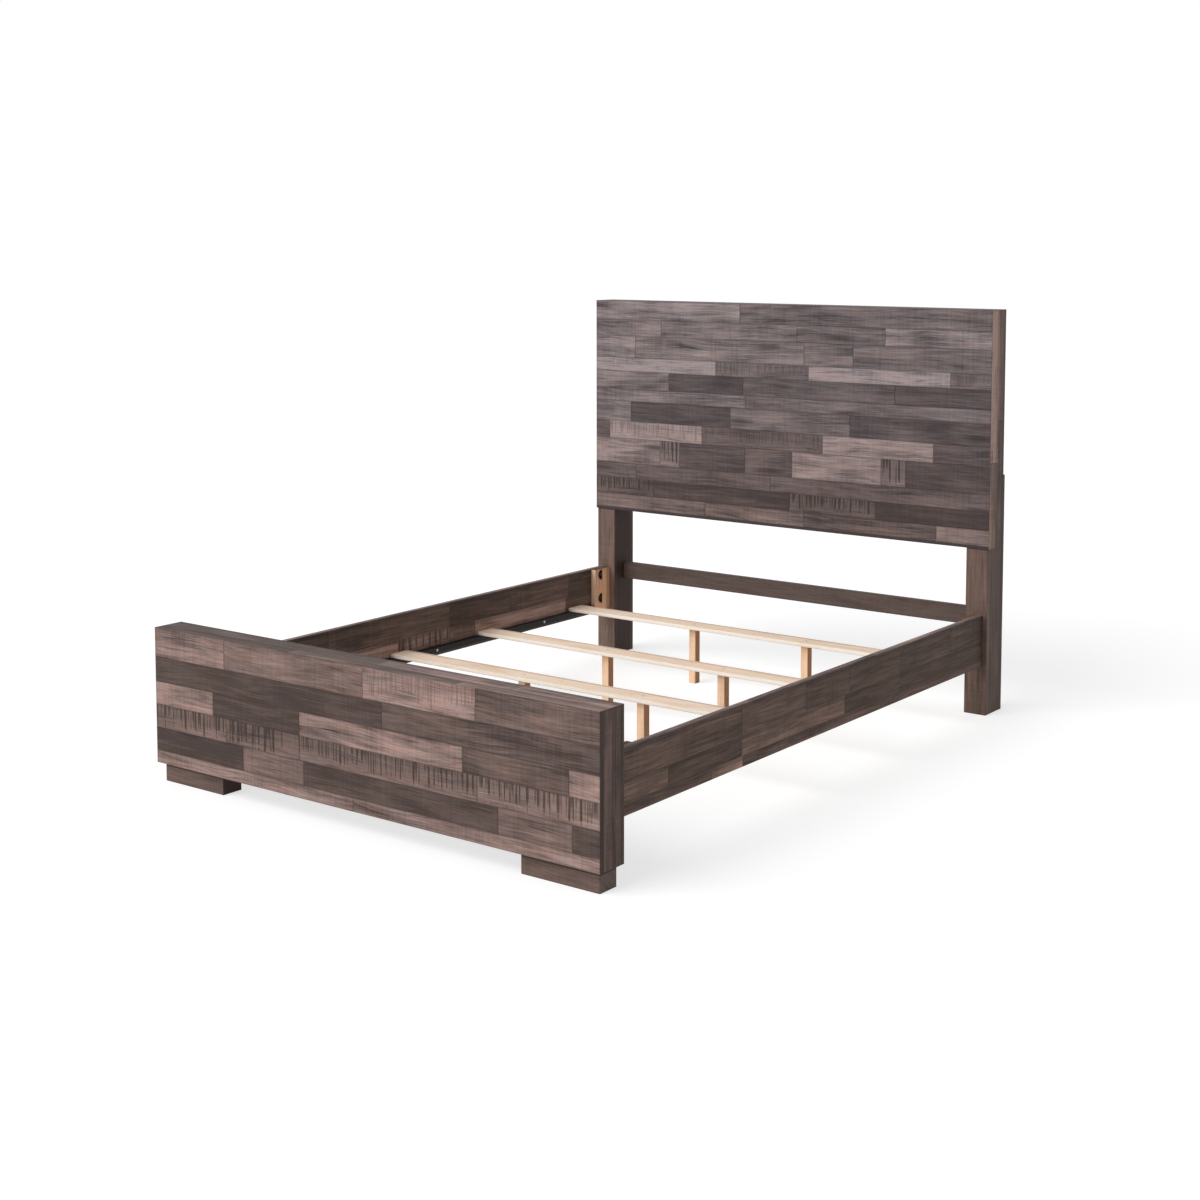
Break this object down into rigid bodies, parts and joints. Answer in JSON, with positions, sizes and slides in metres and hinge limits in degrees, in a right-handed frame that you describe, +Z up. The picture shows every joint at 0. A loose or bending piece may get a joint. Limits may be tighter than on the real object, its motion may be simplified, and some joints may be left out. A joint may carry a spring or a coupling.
{
  "type": "wooden bed frame",
  "caption": "Rustic planked wooden bed frame with a tall headboard on legs, a low footboard on block feet, bolted side rails and lift-out slats on support legs.",
  "frame": {"origin": "on the floor, at the middle of the bed's width and length", "axes": "+X to the right seen from the foot end, +Y from the footboard to the headboard, +Z up"},
  "size_m": [1.651, 2.286, 1.3716],
  "materials": {
    "plank_wood": "matte",
    "leg_wood": "matte",
    "core_wood": "raw",
    "back_panel": "matte",
    "block_wood": "raw",
    "slat_pine": "raw",
    "black_ledger": "satin",
    "zinc_steel": "satin",
    "black_steel": "satin",
    "beech_dowel": "raw"
  },
  "bodies": {
    "frame": {"footboard_back_board": "plank_wood", "footboard_bottom_board": "plank_wood", "footboard_centre_rib": "core_wood", "footboard_foot_screws": "zinc_steel", "footboard_front_board": "plank_wood", "footboard_left_end_board": "plank_wood", "footboard_left_foot": "leg_wood", "footboard_left_stile": "core_wood", "footboard_right_end_board": "plank_wood", "footboard_right_foot": "leg_wood", "footboard_right_stile": "core_wood", "footboard_top_board": "plank_wood", "headboard_back_panel": "back_panel", "headboard_bolt_inserts": "zinc_steel", "headboard_bolts": "zinc_steel", "headboard_bottom_board": "plank_wood", "headboard_centre_rib": "core_wood", "headboard_cross_rail": "leg_wood", "headboard_cross_rail_dowels": "beech_dowel", "headboard_front_board": "plank_wood", "headboard_left_end_board": "plank_wood", "headboard_left_post": "leg_wood", "headboard_left_stile": "core_wood", "headboard_left_strip": "leg_wood", "headboard_right_end_board": "plank_wood", "headboard_right_post": "leg_wood", "headboard_right_stile": "core_wood", "headboard_right_strip": "leg_wood", "headboard_strip_screws": "zinc_steel", "headboard_top_board": "plank_wood", "left_foot_end_block": "block_wood", "left_head_end_block": "block_wood", "left_ledger": "black_ledger", "left_ledger_screws": "zinc_steel", "left_side_rail": "plank_wood", "rail_bolt_inserts": "zinc_steel", "rail_bolts": "black_steel", "rail_nuts": "black_steel", "rail_washers": "black_steel", "right_foot_end_block": "block_wood", "right_head_end_block": "block_wood", "right_ledger": "black_ledger", "right_ledger_screws": "zinc_steel", "right_side_rail": "plank_wood"},
    "head_slat": {"head_slat": "slat_pine", "head_slat_left_leg": "slat_pine", "head_slat_right_leg": "slat_pine", "head_slat_screws": "zinc_steel"},
    "middle_slat": {"middle_slat": "slat_pine", "middle_slat_left_leg": "slat_pine", "middle_slat_right_leg": "slat_pine", "middle_slat_screws": "zinc_steel"},
    "foot_slat": {"foot_slat": "slat_pine", "foot_slat_left_leg": "slat_pine", "foot_slat_right_leg": "slat_pine", "foot_slat_screws": "zinc_steel"}
  },
  "joints": [
    {"name": "head_slat_lift", "type": "slide", "parent": "frame", "child": "head_slat", "axis": [0, 0, 1], "range_m": [0, 0.36]},
    {"name": "middle_slat_lift", "type": "slide", "parent": "frame", "child": "middle_slat", "axis": [0, 0, 1], "range_m": [0, 0.36]},
    {"name": "foot_slat_lift", "type": "slide", "parent": "frame", "child": "foot_slat", "axis": [0, 0, 1], "range_m": [0, 0.36]}
  ]
}
